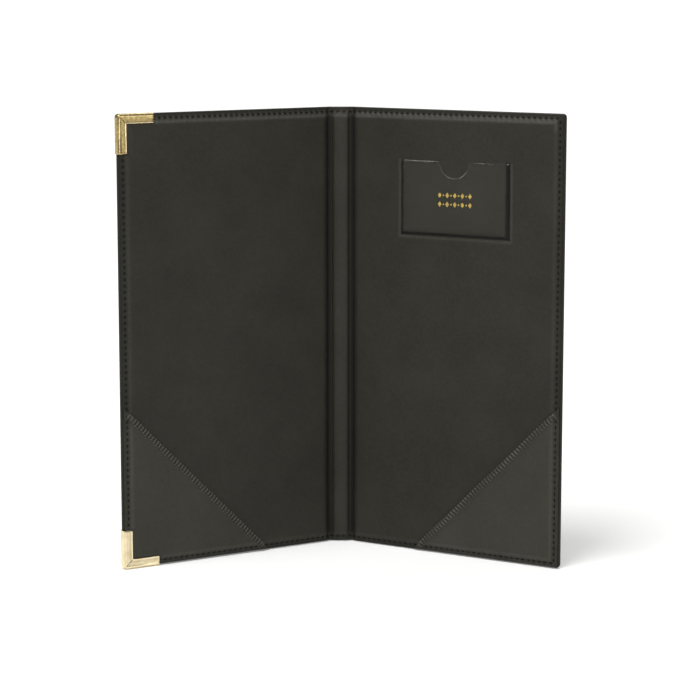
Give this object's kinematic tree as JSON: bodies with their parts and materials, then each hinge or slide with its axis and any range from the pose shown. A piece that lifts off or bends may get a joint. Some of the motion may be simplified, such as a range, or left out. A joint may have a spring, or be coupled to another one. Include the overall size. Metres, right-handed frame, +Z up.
{
  "type": "bill folder",
  "caption": "Padded leatherette bill folder standing open in a V, with corner pockets, a clear card pocket and metal corners on the front cover.",
  "frame": {"origin": "on the standing surface, below the middle of the folder's box as it stands open", "axes": "+Z up along the covers' height, -Y towards the open side of the V, +X towards the back cover"},
  "size_m": [0.2466, 0.0718, 0.254],
  "materials": {
    "board": "matte greyboard",
    "foam": "soft foam sheet",
    "outer_leatherette": "fine-grained charcoal leatherette",
    "inner_leatherette": "fine-grained charcoal leatherette",
    "pocket_leatherette": "fine-grained charcoal leatherette",
    "corner_metal": "antique gold plating over pressed steel",
    "clear_film": "clear soft PVC film"
  },
  "bodies": {
    "spine": {"spine_strip": "board", "spine_inner_foam": "foam", "spine_outer_foam": "foam", "spine_skin": "outer_leatherette", "spine_lining": "inner_leatherette"},
    "front_cover": {"front_board": "board", "front_inner_foam": "foam", "front_outer_foam": "foam", "front_skin": "outer_leatherette", "front_lining": "inner_leatherette", "front_corner_pocket": "pocket_leatherette", "top_metal_corner": "corner_metal", "bottom_metal_corner": "corner_metal"},
    "back_cover": {"back_board": "board", "back_inner_foam": "foam", "back_outer_foam": "foam", "back_skin": "outer_leatherette", "back_lining": "inner_leatherette", "back_corner_pocket": "pocket_leatherette", "card_pocket": "clear_film"}
  },
  "joints": [
    {"name": "front_cover_hinge", "type": "hinge", "parent": "spine", "child": "front_cover", "pos_m": [-0.00651, 0.03305, 0], "axis": [0, 0, 1], "range_deg": [-30, 60]},
    {"name": "back_cover_hinge", "type": "hinge", "parent": "spine", "child": "back_cover", "pos_m": [0.00679, 0.03305, 0], "axis": [0, 0, -1], "range_deg": [-30, 60]}
  ]
}
